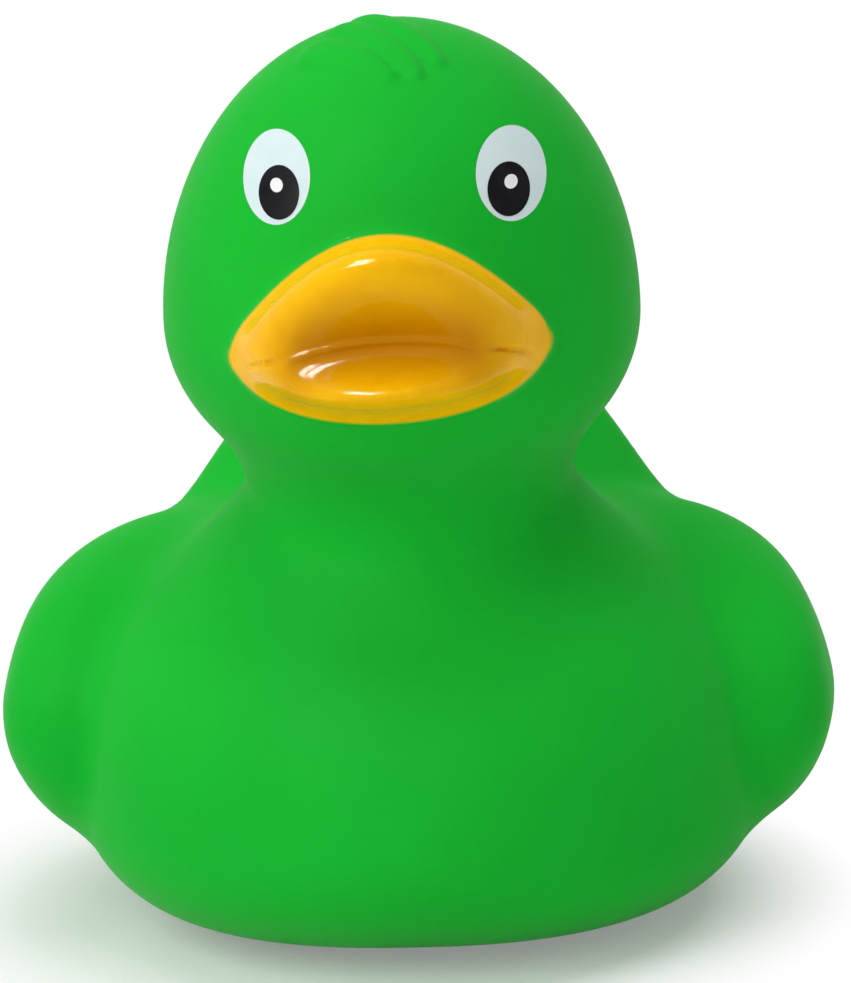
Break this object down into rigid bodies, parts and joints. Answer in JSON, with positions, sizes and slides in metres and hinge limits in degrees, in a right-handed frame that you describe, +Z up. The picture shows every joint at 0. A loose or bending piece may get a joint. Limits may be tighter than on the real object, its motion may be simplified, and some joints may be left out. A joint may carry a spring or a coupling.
{
  "type": "rubber duck",
  "caption": "Hollow soft vinyl bath duck with raised wings, an open bill, an upturned tail, a small tuft and a flat base with a vent.",
  "frame": {"origin": "middle of the outer box, on the base", "axes": "+Z up, -Y the way the bill points, +X to the right of someone who faces the duck"},
  "size_m": [0.0824, 0.0804, 0.0899],
  "materials": {
    "skin": "soft moulded vinyl, satin"
  },
  "bodies": {
    "root": {"duck": "skin"}
  },
  "joints": []
}
